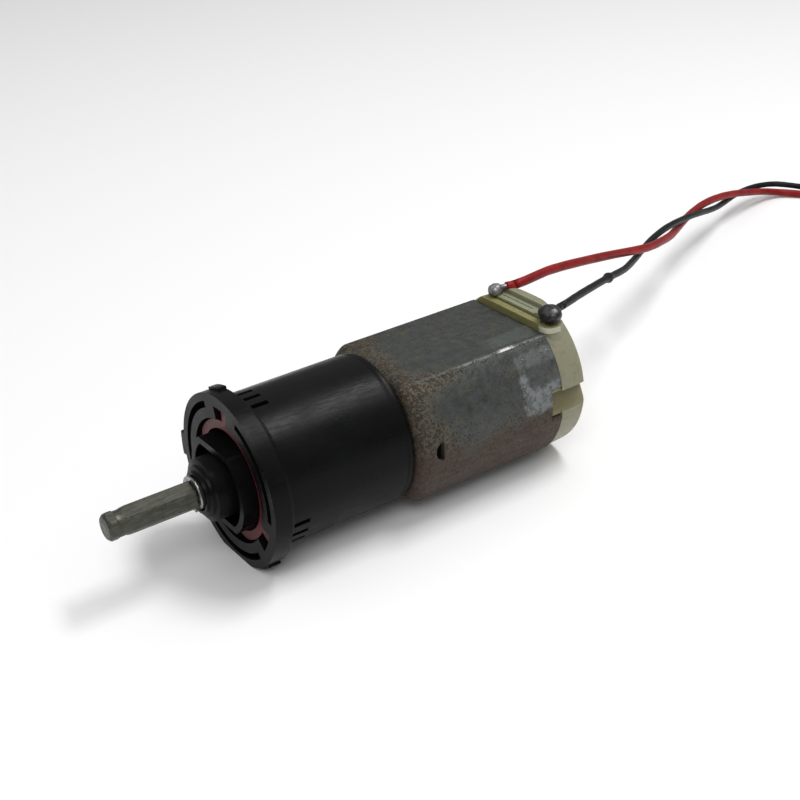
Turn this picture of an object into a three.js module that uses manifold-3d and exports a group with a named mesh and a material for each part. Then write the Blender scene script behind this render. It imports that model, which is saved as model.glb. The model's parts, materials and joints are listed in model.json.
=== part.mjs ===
// Small DC gear motor, as used in pocket electric screwdrivers: a brushed motor in a flat-sided can,
// a two-stage planetary gearbox in a plastic barrel, a hexagonal output shaft and two soldered leads.
//
// Units are millimetres and +Z is up. The motor axis lies along X, the output shaft points to -X, and the
// leads leave at +X. The origin is the middle of the footprint, level with the flange's resting flat.
// "Station" means a place along the axis, measured from the joint between gearbox and motor.
// Angles around the axis are in degrees, from the -Y side towards +Z.
import * as THREE from 'three';
import { mergeVertices } from 'three/addons/utils/BufferGeometryUtils.js';
import Module from 'manifold-3d';

const wasm = await Module();
wasm.setup();

// ---------- driving dimensions ----------

const gap = 0.3; // between pieces that touch
const barrelRadius = 12.2;
const barrelWall = 1.3;
const flangeRadius = 13.85;
const flangeFlat = 13.2; // axis to the resting flat of the flange
const canRadius = 13.85;
const canFlat = 10.5; // axis to the flat sides of the motor can
const canWall = 0.9;
const motorShaftRadius = 1;
const shaftAcrossFlats = 4;

// Stations along the axis.
const shaftTip = -45.8;
const hexStart = -32.1;
const hubFront = -27.65;
const flangeFront = -25.8;
const flangeRear = -23;
const barrelFront = -21.6;
const canEnd = 27.8;
const capEnd = 33;
const capBossEnd = 34.8;

// Gears, the same in both stages: the ring is fixed, the sun drives and the carrier is driven.
const gearModule = 0.4;
const sunTeeth = 9;
const planetTeeth = 18;
const ringTeeth = sunTeeth + 2 * planetTeeth;
const planetCount = 3;
const backlash = 0.12;
const addendum = 0.9 * gearModule;
const dedendum = 1.2 * gearModule;
const planetOrbit = (gearModule * (sunTeeth + planetTeeth)) / 2;

// Leads.
const redRadius = 0.8;
const redSteps = 44;
const blackRadius = 0.65;
const blackSteps = 52;

// ---------- finishes ----------

function finish(color, roughness, metalness) {
  return () => new THREE.MeshStandardMaterial({ color, roughness, metalness });
}

const blackPlastic = finish(0x1b1b1c, 0.45, 0);
const redPlastic = finish(0x9c2a30, 0.5, 0);
const nylon = finish(0xc9c48f, 0.55, 0);
const whiteAcetal = finish(0xd9d8d0, 0.5, 0);
const zincSteel = finish(0x7c8385, 0.5, 0.8);
const machinedSteel = finish(0x85847c, 0.4, 0.9);
const brightSteel = finish(0xb9b9b2, 0.3, 1);
const bronze = finish(0x9a7446, 0.5, 0.9);
const copper = finish(0xb5643a, 0.4, 0.9);
const carbon = finish(0x2a2a2b, 0.8, 0.1);
const ferrite = finish(0x33343a, 0.7, 0.2);
const laminations = finish(0x6f7175, 0.5, 0.8);
const enamelledWire = finish(0x8f3f1f, 0.4, 0.6);
const tinSolder = finish(0x8d8f93, 0.35, 0.8);
const redInsulation = finish(0xc4262b, 0.5, 0);
const blackInsulation = finish(0x1f2326, 0.5, 0);

// ---------- the assembly ----------

const part = new THREE.Group();
const drive = new THREE.Group(); // everything on the motor axis
drive.position.set(-(shaftTip + capBossEnd) / 2, 0, flangeFlat);
part.add(drive);

function addTo(group, name, geometry, material) {
  const mesh = new THREE.Mesh(geometry, material());
  mesh.name = name;
  group.add(mesh);
  return mesh;
}

function add(name, geometry, material) {
  return addTo(drive, name, geometry, material);
}

// ---------- shapes across the axis ----------

const radians = THREE.MathUtils.degToRad;

function at(angle, radius) {
  return new THREE.Vector2(radius * Math.cos(radians(angle)), radius * Math.sin(radians(angle)));
}

function circle(radius) {
  return new THREE.Shape().absarc(0, 0, radius, 0, 2 * Math.PI);
}

// A round outline with flat sides above and below.
function flatSided(radius, flat) {
  const half = Math.asin(flat / radius);
  const outline = new THREE.Shape();
  outline.absarc(0, 0, radius, -half, half);
  outline.absarc(0, 0, radius, Math.PI - half, Math.PI + half);
  return outline;
}

function arcBand(inner, outer, middle, span) {
  const start = radians(middle - span / 2);
  const end = radians(middle + span / 2);
  const outline = new THREE.Shape();
  outline.absarc(0, 0, outer, start, end);
  outline.absarc(0, 0, inner, end, start, true);
  return outline;
}

function polygon(points) {
  return new THREE.Shape(points);
}

// The same outline on the other side of the axis.
function mirrored(outline) {
  return polygon(outline.getPoints().map((corner) => new THREE.Vector2(-corner.x, corner.y)).reverse());
}

function rectangle(left, right, low, high) {
  const corners = [[left, low], [right, low], [right, high], [left, high]];
  return polygon(corners.map((corner) => new THREE.Vector2(...corner)));
}

// ---------- solids ----------

// Turns a shape across the axis into a bar between two stations, the front one nearer the shaft tip.
const acrossAxis = new THREE.Matrix4().makeBasis(
  new THREE.Vector3(0, -1, 0),
  new THREE.Vector3(0, 0, 1),
  new THREE.Vector3(-1, 0, 0),
);

function prism(outline, front, rear, curveSegments = 24) {
  const settings = { depth: rear - front, bevelEnabled: false, curveSegments };
  const geometry = new THREE.ExtrudeGeometry(outline, settings);
  geometry.applyMatrix4(acrossAxis);
  return solid(geometry.translate(rear, 0, 0));
}

// A turned piece: the profile lists [station, radius], front to rear along its outside.
function turned(profile, segments = 48) {
  const points = profile.map(([station, radius]) => new THREE.Vector2(radius, station));
  return solid(new THREE.LatheGeometry(points, segments).rotateZ(-Math.PI / 2));
}

function rod(front, rear, radius, segments = 32) {
  return turned([[front, 0], [front, radius], [rear, radius], [rear, 0]], segments);
}

function tube(front, rear, inner, outer, segments = 32) {
  const profile = [[front, inner], [front, outer], [rear, outer], [rear, inner], [front, inner]];
  return turned(profile, segments);
}

function block(size, centre) {
  return solid(new THREE.BoxGeometry(...size).translate(...centre));
}

// A rod off the axis, at an angle and a distance from it.
function rodAt(angle, distance, front, rear, radius, segments = 16) {
  const place = at(angle, distance);
  return rod(front, rear, radius, segments).translate([0, -place.x, place.y]);
}

function solid(geometry) {
  const bare = geometry.clone();
  bare.deleteAttribute('normal');
  bare.deleteAttribute('uv');
  const merged = mergeVertices(bare);
  const corners = [];
  const index = merged.index.array;
  for (let i = 0; i < index.length; i += 3) {
    const [a, b, c] = [index[i], index[i + 1], index[i + 2]];
    if (a !== b && b !== c && c !== a) corners.push(a, b, c);
  }
  const mesh = new wasm.Mesh({
    numProp: 3,
    vertProperties: new Float32Array(merged.attributes.position.array),
    triVerts: new Uint32Array(corners),
  });
  return new wasm.Manifold(mesh);
}

function geometryOf(body) {
  const mesh = body.getMesh();
  const geometry = new THREE.BufferGeometry();
  geometry.setAttribute('position', new THREE.BufferAttribute(mesh.vertProperties, 3));
  geometry.setIndex(new THREE.BufferAttribute(mesh.triVerts, 1));
  geometry.computeVertexNormals();
  return geometry;
}

// ---------- gear outlines ----------

const pressureAngle = radians(20);
const involute = (angle) => Math.tan(angle) - angle;

// Half the angle that a tooth fills at a radius, for involute teeth with the given thinning.
function toothHalfAngle(teeth, radius, thinning) {
  const pitch = (gearModule * teeth) / 2;
  const base = pitch * Math.cos(pressureAngle);
  const slope = Math.acos(Math.min(1, base / Math.max(radius, base)));
  return Math.PI / (2 * teeth) - thinning / (2 * pitch) + involute(pressureAngle) - involute(slope);
}

// The outline of an external gear, or of the hollow of an internal one, with a tooth centred at "phase".
function gearOutline(teeth, root, tip, phase, thinning) {
  const pitch = (gearModule * teeth) / 2;
  const points = [];
  for (let tooth = 0; tooth < teeth; tooth++) {
    const middle = radians(phase) + (2 * Math.PI * tooth) / teeth;
    for (const [side, radii] of [[-1, [root, pitch, tip]], [1, [tip, pitch, root]]]) {
      for (const radius of radii) {
        const angle = middle + side * toothHalfAngle(teeth, radius, thinning);
        points.push(new THREE.Vector2(radius * Math.cos(angle), radius * Math.sin(angle)));
      }
    }
  }
  return polygon(points);
}

function gear(teeth, phase, front, rear) {
  const pitch = (gearModule * teeth) / 2;
  const outline = gearOutline(teeth, pitch - dedendum, pitch + addendum, phase, backlash);
  return prism(outline, front, rear);
}

// ---------- gearbox casing ----------

// Snap windows of the casing: three groups around the axis.
const snapAngles = [90, -30, 210];

function gearHousing() {
  const bore = barrelRadius - barrelWall;
  const rear = -gap;
  const bead = { front: rear - 1.5, rear: rear - 0.7, slope: 0.2, radius: barrelRadius + 0.15 };
  let body = turned([
    [barrelFront, bore],
    [barrelFront, barrelRadius],
    [bead.front, barrelRadius],
    [bead.front + bead.slope, bead.radius],
    [bead.rear - bead.slope, bead.radius],
    [bead.rear, barrelRadius],
    [rear, barrelRadius],
    [rear, bore],
    [barrelFront, bore],
  ], 60);
  const slotLength = 2.9;
  const slotWidthAngle = 4;
  const slotSpacing = 11;
  for (const middle of snapAngles) {
    for (const place of [-1, 0, 1]) {
      const band = arcBand(bore - 1, barrelRadius + 1, middle + place * slotSpacing, slotWidthAngle);
      body = body.subtract(prism(band, barrelFront - 1, barrelFront + slotLength, 2));
    }
  }
  return body;
}

// Front cover: a flange with arc slots and windows, a flat-sided hub, and a nose for the output shaft.
const coverFloorFront = -23.6;
const coverFloorRear = barrelFront - gap;
const noseEnd = -31.1;
const flangeRingInner = 9.9;
const flangeRingOuter = 11.45;
const rimLugs = [
  { middle: 107, span: 13, front: -24.4, rear: flangeRear },
  { middle: 179, span: 15, front: flangeFront, rear: -24.2 },
  { middle: 203, span: 7, front: flangeFront, rear: -24.2 },
  { middle: 300, span: 13, front: -24.4, rear: flangeRear },
];

function flange() {
  const rimInner = 12.5;
  const slotSpan = 76;
  const windowSpan = 19;
  const windowOuter = 12;
  const lugHeight = 0.45;
  const lugRoot = 0.8;
  let body = tube(flangeFront, flangeRear, flangeRingInner, flangeRadius, 60);
  for (const middle of snapAngles) {
    const slot = arcBand(flangeRingOuter, rimInner, middle - 60, slotSpan);
    const window = arcBand(flangeRingInner - 1, windowOuter, middle, windowSpan);
    body = body.subtract(prism(slot, flangeFront - 1, coverFloorFront, 8));
    body = body.subtract(prism(window, flangeFront - 1, coverFloorFront, 3));
  }
  for (const { middle, span, front, rear } of rimLugs) {
    const lug = arcBand(flangeRadius - lugRoot, flangeRadius + lugHeight, middle, span);
    body = body.add(prism(lug, front, rear, 3));
  }
  return body;
}

function hub() {
  const radius = 7.8;
  const flat = 6.4;
  const wall = 1.05;
  const outside = prism(flatSided(radius, flat), hubFront, coverFloorRear, 12);
  return outside.subtract(prism(flatSided(radius - wall, flat - wall), hubFront - 1, coverFloorFront, 12));
}

// The skirt that fits inside the barrel, with the step that joins it to the cover's floor.
function skirt() {
  const inner = 9.5;
  const stepOuter = 10.5;
  const stepLength = 0.5;
  const reach = 3.2;
  const inBarrel = tube(coverFloorRear, barrelFront + reach, inner, barrelRadius - barrelWall - gap, 60);
  return inBarrel.add(tube(coverFloorRear - stepLength, coverFloorRear, inner, stepOuter, 60));
}

function nose() {
  return turned([
    [noseEnd, 0],
    [noseEnd, 3.3],
    [-30.6, 3.4],
    [-30.5, 4.0],
    [-30.05, 4.1],
    [-29.9, 4.9],
    [coverFloorRear, 5.3],
    [coverFloorRear, 0],
  ], 36);
}

function frontCover() {
  const collarRadius = barrelRadius + 0.25;
  const floor = rod(coverFloorFront, coverFloorRear, collarRadius, 60);
  const bushPocket = rod(bushFront - gap, coverFloorRear + 1, bushOuter + gap, 36);
  const shaftHole = rod(noseEnd - 1, coverFloorRear + 1, journalRadius + 0.35, 36);
  const restingFlat = block([10, 40, 4], [flangeFront, 0, -flangeFlat - 2]);
  return floor.add(flange()).add(hub()).add(skirt()).add(nose())
    .subtract(bushPocket)
    .subtract(shaftHole)
    .subtract(restingFlat);
}

// Red split ring that locks the cover's clips, with a tab in each of two windows.
function retainingRing() {
  const front = -25.2;
  const rear = coverFloorFront - gap;
  const inner = 8.2;
  const outer = flangeRingInner - gap;
  const middle = 37;
  const span = 250;
  const tabAngles = [89.5, -28.5];
  const tabSpan = 9;
  const tabReach = 11.4;
  let body = prism(arcBand(inner, outer, middle, span), front, rear, 20);
  for (const tabMiddle of tabAngles) {
    body = body.add(prism(arcBand(outer - 0.5, tabReach, tabMiddle, tabSpan), front, rear, 2));
  }
  return body;
}

// The fixed gear that both stages run in.
const ringOuterRadius = barrelRadius - barrelWall - gap;
const ringFront = -14.7;
const ringRear = -3.4;

function ringGear() {
  const pitch = (gearModule * ringTeeth) / 2;
  const half = 180 / ringTeeth;
  const hollow = gearOutline(ringTeeth, pitch - addendum, pitch + dedendum, half, -backlash);
  const outline = circle(ringOuterRadius);
  outline.holes.push(hollow);
  return prism(outline, ringFront, ringRear);
}

// ---------- output stage ----------

const journalRadius = 2.45;
const bushOuter = 3.55;
const bushFront = -29.4;
const bushRear = -22.2;
const carrierRadius = 7.4;
const pinRadius = 0.8;
const pinClearance = 0.1;
const pinInset = 0.2; // from the face of the carrier, and of the planet, to the pin's end
const outputCarrierFront = -17.3;
const outputCarrierRear = -15;
const outputPlanetRear = -10.2;

function outputShaft() {
  const hexTurn = 40.5; // angle of one corner at rest
  const corner = shaftAcrossFlats / Math.sqrt(3);
  const corners = [0, 60, 120, 180, 240, 300].map((turn) => at(hexTurn + turn, corner));
  const bar = prism(polygon(corners), shaftTip, hexStart + 0.1);
  const clear = corner + 0.1;
  const tipRadius = 1.8;
  const tipTaper = 0.55;
  const groove = { front: shaftTip + 1.6, rear: shaftTip + 2.7, runOut: 0.7, radius: 1.95 };
  const neckRadius = 2.1;
  const envelope = turned([
    [shaftTip, 0],
    [shaftTip, tipRadius],
    [shaftTip + tipTaper, clear],
    [groove.front, clear],
    [groove.front, groove.radius],
    [groove.rear, groove.radius],
    [groove.rear + groove.runOut, clear],
    [hexStart + 0.1, clear],
    [hexStart + 0.1, 0],
  ], 24);
  const journal = turned([
    [hexStart, 0],
    [hexStart, neckRadius],
    [hexStart + 0.3, journalRadius],
    [outputCarrierRear, journalRadius],
    [outputCarrierRear, 0],
  ], 32);
  return bar.intersect(envelope).add(journal);
}

function shaftClip() {
  const outer = 3.35;
  const middle = 128;
  const span = 310;
  return prism(arcBand(journalRadius + 0.1, outer, middle, span), -31.9, -31.4);
}

function thrustWasher() {
  return tube(-18.2, outputCarrierFront - gap, journalRadius + 0.15, 5.6);
}

function carrier(front, rear, hole) {
  const scallopRadius = 3.6;
  const scallopDistance = carrierRadius + 2.2;
  let plate = tube(front, rear, hole, carrierRadius, 36);
  for (let i = 0; i < planetCount; i++) {
    const direction = (360 * i) / planetCount;
    const scallop = rodAt(60 + direction, scallopDistance, front - 1, rear + 1, scallopRadius, 20);
    const pinHole = rodAt(direction, planetOrbit, front - 1, rear + 1, pinRadius + pinClearance);
    plate = plate.subtract(scallop).subtract(pinHole);
  }
  return plate;
}

// Planets and their pins. A sun tooth points at each planet at rest, so a gap of the planet faces the sun.
function addPlanets(stage, carrierFront, planetFront, planetRear) {
  for (let i = 0; i < planetCount; i++) {
    const direction = (360 * i) / planetCount;
    const place = at(direction, planetOrbit);
    const phase = direction + 180 / planetTeeth;
    const wheel = gear(planetTeeth, phase, planetFront, planetRear)
      .translate([0, -place.x, place.y])
      .subtract(rodAt(direction, planetOrbit, planetFront - 1, planetRear + 1, pinRadius + pinClearance));
    add(`${stage}_planet_${i + 1}`, geometryOf(wheel), whiteAcetal);
    const pin = rodAt(direction, planetOrbit, carrierFront + pinInset, planetRear - pinInset, pinRadius);
    add(`${stage}_pin_${i + 1}`, geometryOf(pin), brightSteel);
  }
}

// ---------- first stage ----------

const firstCarrierFront = -9.5;
const firstCarrierRear = -8;
const firstPlanetRear = -3.6;
const sunStub = 1.15;

function secondSun() {
  const wheel = gear(sunTeeth, 0, outputCarrierRear + gap, firstCarrierFront - gap);
  return wheel.add(rod(firstCarrierFront - gap - pinInset, firstCarrierRear - pinInset, sunStub, 20));
}

// ---------- motor mounting ----------

const screwDistance = 8;
const plateFront = -1.5;

function motorPlate() {
  const bossHole = 4.2;
  const screwHole = 1.45;
  const opening = { inner: 6.2, outer: 8.8, span: 50 };
  let plate = tube(plateFront, -gap, bossHole, ringOuterRadius, 48);
  for (const side of [0, 180]) {
    plate = plate.subtract(rodAt(side, screwDistance, plateFront - 1, 0, screwHole));
  }
  for (const side of [90, 270]) {
    const band = arcBand(opening.inner, opening.outer, side, opening.span);
    plate = plate.subtract(prism(band, plateFront - 1, 0, 6));
  }
  return plate;
}

function motorScrew(side) {
  const headFront = -2.7;
  const headRadius = 2.1;
  const headRear = plateFront - 0.2;
  const crossLength = 2.6;
  const crossWidth = 0.6;
  const shankRear = 2.2;
  const shankRadius = 1.15;
  const middle = [headFront, -Math.cos(radians(side)) * screwDistance, 0];
  return rodAt(side, screwDistance, headFront, headRear, headRadius, 20)
    .subtract(block([1, crossWidth, crossLength], middle))
    .subtract(block([1, crossLength, crossWidth], middle))
    .add(rodAt(side, screwDistance, headRear - 0.1, shankRear, shankRadius));
}

// ---------- motor can and field ----------

const canBossRadius = 3.9;
const motorBushOuter = 2.9;

// Rounded front shoulder of the can, as a turned profile.
function canEnvelope() {
  const shoulder = 1.8;
  const arcSteps = 4;
  const profile = [[0, 0]];
  for (let i = 0; i <= arcSteps; i++) {
    const turn = (Math.PI / 2) * (i / arcSteps);
    profile.push([shoulder * (1 - Math.cos(turn)), canRadius - shoulder * (1 - Math.sin(turn))]);
  }
  profile.push([canEnd, canRadius + 0.01], [canEnd, 0]);
  return turned(profile, 72);
}

function motorCan() {
  const bossFront = -1.6;
  const pocketFront = -0.9;
  const screwHoleRadius = 1.4;
  const cutInner = canRadius - 2;
  const lockHole = { front: 2.6, rear: 4.1, span: 13 };
  const notch = { front: canEnd - 2.2, span: 23 };
  const hollow = prism(flatSided(canRadius - canWall, canFlat - canWall), canWall, canEnd + 1, 14);
  let body = prism(flatSided(canRadius, canFlat), 0, canEnd, 14).intersect(canEnvelope()).subtract(hollow);
  body = body.add(rod(bossFront, canWall, canBossRadius, 36));
  body = body.subtract(rod(pocketFront, canWall + 1, motorBushOuter + gap, 28));
  body = body.subtract(rod(bossFront - 0.4, 0, motorShaftRadius + 0.6, 20));
  for (const side of [0, 180]) {
    const halfMoon = arcBand(cutInner, canRadius + 1, side, lockHole.span);
    const opening = arcBand(cutInner, canRadius + 1, side, notch.span);
    body = body.subtract(rodAt(side, screwDistance, -1, canWall + 1, screwHoleRadius));
    body = body.subtract(prism(halfMoon, lockHole.front, lockHole.rear, 2));
    body = body.subtract(prism(opening, notch.front, canEnd + 1, 3));
  }
  return body;
}

function magnet(side) {
  const inner = 9.2;
  const span = 88;
  return prism(arcBand(inner, canRadius - canWall - gap, side, span), 4.5, 22, 10);
}

function bush(front, rear, shaftRadius, outer) {
  return tube(front, rear, shaftRadius + 0.08, outer, 28);
}

// ---------- armature ----------

const motorShaftFront = -7.5;

function motorPinion() {
  const front = motorShaftFront - 0.1;
  const rear = -3.1;
  return gear(sunTeeth, 0, front, rear).subtract(rod(front - 1, 0, motorShaftRadius + 0.08, 20));
}

const poleCount = 5;
const coreFront = 6.5;
const coreRear = 20.5;
const armatureRadius = 8.6;
const toothHalfWidth = 1.1;

function armatureCore() {
  const hub = 3.4;
  const shoeInner = 7.3;
  const shoeSpan = 62;
  const toothFoot = 2;
  let body = rod(coreFront, coreRear, hub, 30);
  for (let pole = 0; pole < poleCount; pole++) {
    const middle = (360 * pole) / poleCount;
    const web = rectangle(toothFoot, shoeInner + 0.3, -toothHalfWidth, toothHalfWidth);
    const tooth = prism(web, coreFront, coreRear);
    const shoe = prism(arcBand(shoeInner, armatureRadius, 0, shoeSpan), coreFront, coreRear, 6);
    body = body.add(tooth.add(shoe).rotate([-middle, 0, 0]));
  }
  return body.subtract(rod(coreFront - 1, coreRear + 1, motorShaftRadius + 0.1, 20));
}

function coil(pole) {
  const low = 4;
  const high = 6.8;
  const halfWidth = 2.55;
  const overhang = 1.8;
  const length = coreRear - coreFront;
  const middle = (coreFront + coreRear) / 2;
  const height = (low + high) / 2;
  const outside = block([length + 2 * overhang, high - low, 2 * halfWidth], [middle, -height, 0]);
  const inside = block([length + 2 * gap, high - low + 2, 2 * (toothHalfWidth + gap)], [middle, -height, 0]);
  return outside.subtract(inside).rotate([(-360 * pole) / poleCount, 0, 0]);
}

const commutatorRadius = 2.6;
const brushStation = 24.8;

function commutator() {
  const length = 3.6;
  const slotWidth = 0.3;
  const [front, rear] = [brushStation - length / 2, brushStation + length / 2];
  let body = tube(front, rear, motorShaftRadius + 0.1, commutatorRadius, 30);
  for (let slot = 0; slot < poleCount; slot++) {
    const cut = block([length + 1, 1, slotWidth], [brushStation, -commutatorRadius, 0]);
    body = body.subtract(cut.rotate([(-360 * (slot + 0.5)) / poleCount, 0, 0]));
  }
  return body;
}

// ---------- end cap, brushes and terminals ----------

const terminalStation = 29.9;
const terminalWidth = 1.5;
const terminalThickness = 0.5;
const terminalLow = 5.6;
const terminalTop = 12.3;
const padHeight = 12.55;
const solderBlobs = [
  { centre: [29.9, 5.9, 12.7], radii: [1.3, 1.35, 1.3] },
  { centre: [29.9, -8, 12.9], radii: [1.5, 2, 1.5] },
];

const capFront = canEnd + 0.2;

// The cap's outside: a disc with a rounded rear edge and the bearing boss behind it.
function capDisc() {
  const frontRadius = 13.55;
  const rearRadius = 13.35;
  const rearRound = 0.6;
  const bossRadius = 4.75;
  const bossChamfer = 0.3;
  return turned([
    [capFront, 0],
    [capFront, frontRadius],
    [capEnd - rearRound, rearRadius],
    [capEnd - 0.3 * rearRound, rearRadius - 0.3 * rearRound],
    [capEnd, rearRadius - rearRound],
    [capEnd, bossRadius],
    [capBossEnd - bossChamfer, bossRadius],
    [capBossEnd, bossRadius - bossChamfer],
    [capBossEnd, 0],
  ], 60);
}

// Everything beyond a distance from the axis, above or below it, from one station back.
function beyondFlat(side, distance, front, length) {
  const height = 10;
  return block([length, 40, height], [front + length / 2, 0, side * (distance + height / 2)]);
}

// A side channel is a wedge: a step at its upper edge and flush with the rim at its lower edge.
function sideChannel() {
  const top = 8;
  const foot = -9;
  const depthAtTop = 12.3;
  const depthAtFoot = 13.2;
  const clear = canRadius + 1;
  return polygon([at(top, depthAtTop), at(top, clear), at(foot, clear), at(foot, depthAtFoot)]);
}

// The part of the cap that plugs into the can, with a tab for each of the can's notches.
function capPlug() {
  const front = 25;
  const radius = canRadius - canWall - gap;
  const tab = { length: 2.6, width: 4.9, station: 26.95, outer: canRadius - 0.35, inner: radius - 1.5 };
  let body = prism(flatSided(radius, canFlat - canWall - gap), front, capFront + 0.5, 14);
  for (const side of [1, -1]) {
    const place = [tab.station, side * (tab.outer + tab.inner) / 2, 0];
    body = body.add(block([tab.length, tab.outer - tab.inner, tab.width], place));
  }
  return body;
}

function endCap() {
  const ledge = 1.2;
  const ledgeFlat = canFlat + gap;
  const pad = { length: 3.7, width: 12.4, depth: 2, station: 30.65 };
  const chamber = { radius: 11.2, flat: 8.6, rear: 31.4 };
  const bushRear = capBossEnd - 0.8;
  const vent = { distance: 7, radius: 1.5 };
  let body = capDisc();
  body = body.subtract(beyondFlat(1, ledgeFlat, capFront - 1, ledge + 1));
  body = body.subtract(beyondFlat(-1, ledgeFlat, capFront - 1, ledge + 1));
  body = body.add(block([pad.length, pad.width, pad.depth], [pad.station, 0, padHeight - pad.depth / 2]));
  body = body.subtract(beyondFlat(1, padHeight, capFront - 1, 20));
  body = body.subtract(beyondFlat(-1, padHeight, capFront - 1, 20));
  body = body.add(capPlug());
  for (const channel of [sideChannel(), mirrored(sideChannel())]) {
    body = body.subtract(prism(channel, capFront + 1.4, capEnd + 1));
  }
  body = body.subtract(prism(flatSided(chamber.radius, chamber.flat), 24, chamber.rear, 14));
  body = body.subtract(rod(chamber.rear - 0.4, bushRear, motorBushOuter + gap, 28));
  body = body.subtract(rod(chamber.rear - 0.4, capBossEnd + 1, motorShaftRadius + 0.5, 20));
  for (const side of [90, -90]) {
    body = body.subtract(rodAt(side, vent.distance, chamber.rear - 1, capEnd + 1, vent.radius));
  }
  for (const blob of solderBlobs) {
    body = body.subtract(blade(blob, gap));
    body = body.subtract(ball(blob.centre, blob.radii.map((radius) => radius + gap)));
  }
  return body;
}

function brush(side) {
  const length = 3;
  const width = 2;
  const airGap = 0.2;
  return block([width, length, width], [brushStation, side * (commutatorRadius + airGap + length / 2), 0]);
}

// Leaf spring that presses the brush and reaches back to the terminal.
function brushArm(side) {
  const distance = side * 6.3;
  const thickness = 0.4;
  const leaf = block([6, thickness, 8.2], [26.4, distance, 2.9]);
  const corner = block([3.4, thickness + 0.6, 5.4], [28.1, distance, 0.8]);
  return leaf.subtract(corner);
}

// The sheet terminal under a solder blob, with room left around it when it is cut out of something.
function blade(blob, room) {
  const height = terminalTop - terminalLow;
  const size = [terminalThickness + 2 * room, terminalWidth + 2 * room, height + 2 * room];
  return block(size, [terminalStation, blob.centre[1], terminalLow + height / 2]);
}

function ball(centre, radii) {
  return solid(new THREE.SphereGeometry(1, 14, 8)).scale(radii).translate(centre);
}

// A blob of solder that sits on its terminal.
function solder(blob) {
  return ball(blob.centre, blob.radii).subtract(blade(blob, 0.1));
}

// ---------- leads ----------

// Routes are in the part's own frame, from the solder joint back and down to the resting surface. The two
// leads meet about 80 mm back and wind once and a quarter round each other before they part on the surface.
const redRoute = [
  [38.4, 4.9, 26], [41.5, 5.2, 25.9], [48, 7.3, 25.1], [58, 10.3, 23], [70, 14.5, 19.8],
  [82.5, 18.5, 16.5], [90.5, 22.6, 14.5], [98, 27.6, 12.2], [105.6, 33, 10.5], [113.5, 37.8, 9.6],
  [121.3, 41.5, 9], [128.6, 44.2, 8], [136.3, 46.6, 6.4], [142.4, 48.2, 4.8], [147.8, 49.5, 3.3],
  [151.9, 50, 2.2], [155, 49.6, 1.4], [157.5, 48, 1], [161, 43, 0.9], [166, 37.7, 0.9],
  [172.5, 35, 0.9], [179.5, 35.5, 0.9],
];
const blackRoute = [
  [38.4, -7, 26], [41, -5.6, 25.4], [45.5, -3, 24.4], [52.5, 0.9, 22.8], [60.5, 5.3, 20.9],
  [68.5, 9.9, 18.7], [81.5, 19.7, 15.1], [89.5, 24.5, 14.5], [97.8, 28.6, 13.7], [106.2, 32.4, 12.2],
  [114.5, 36.2, 10.2], [121.7, 40, 8], [128.4, 43.5, 6.2], [135.6, 47.3, 4.9], [141.7, 49.9, 4.3],
  [147.2, 51.3, 3.8], [152, 51.8, 3.3], [155.8, 50.9, 2.9], [159.2, 48.5, 2.3], [164.2, 45, 1.2],
  [170.5, 41.6, 0.8], [177, 40, 0.8], [184, 41, 0.8],
];
const tipRadii = { red: 0.45, black: 0.4 };
const tipLength = 6;
const leadSides = 4; // segments per half turn

function curveOf(route) {
  return new THREE.CatmullRomCurve3(route.map((point) => new THREE.Vector3(...point)), false, 'centripetal');
}

function lead(route, radius, steps) {
  const section = new THREE.Shape();
  section.absarc(0, 0, radius, 0, 2 * Math.PI);
  const settings = { steps, extrudePath: curveOf(route), curveSegments: leadSides, bevelEnabled: false };
  return geometryOf(solid(new THREE.ExtrudeGeometry(section, settings)));
}

// The stripped and tinned end of a lead, in line with its last stretch.
function leadTip(route, radius) {
  const end = new THREE.Vector3(...route.at(-1));
  const along = curveOf(route).getTangentAt(1);
  const start = end.clone().addScaledVector(along, gap);
  const finishPoint = end.clone().addScaledVector(along, gap + tipLength);
  const section = new THREE.Shape();
  section.absarc(0, 0, radius, 0, 2 * Math.PI);
  const extrudePath = new THREE.LineCurve3(start, finishPoint);
  const settings = { steps: 1, extrudePath, curveSegments: leadSides, bevelEnabled: false };
  return geometryOf(solid(new THREE.ExtrudeGeometry(section, settings)));
}

// ---------- putting it together ----------

add('gear_housing', geometryOf(gearHousing()), blackPlastic);
add('front_cover', geometryOf(frontCover()), blackPlastic);
add('retaining_ring', geometryOf(retainingRing()), redPlastic);
add('front_bush', geometryOf(bush(bushFront, bushRear, journalRadius, bushOuter)), bronze);
add('ring_gear', geometryOf(ringGear()), laminations);
add('motor_plate', geometryOf(motorPlate()), zincSteel);
add('motor_screw_1', geometryOf(motorScrew(0)), brightSteel);
add('motor_screw_2', geometryOf(motorScrew(180)), brightSteel);
add('motor_can', geometryOf(motorCan()), zincSteel);
add('magnet_1', geometryOf(magnet(0)), ferrite);
add('magnet_2', geometryOf(magnet(180)), ferrite);
add('can_bush', geometryOf(bush(-0.6, 1.2, motorShaftRadius, motorBushOuter)), bronze);
add('cap_bush', geometryOf(bush(31.6, capBossEnd - 1.1, motorShaftRadius, motorBushOuter)), bronze);
add('end_cap', geometryOf(endCap()), nylon);

add('output_shaft', geometryOf(outputShaft()), machinedSteel);
add('shaft_clip', geometryOf(shaftClip()), brightSteel);
const outputHole = journalRadius + 0.1;
add('output_carrier', geometryOf(carrier(outputCarrierFront, outputCarrierRear, outputHole)), machinedSteel);
add('thrust_washer', geometryOf(thrustWasher()), brightSteel);
addPlanets('output', outputCarrierFront, outputCarrierRear + gap, outputPlanetRear);

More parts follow.
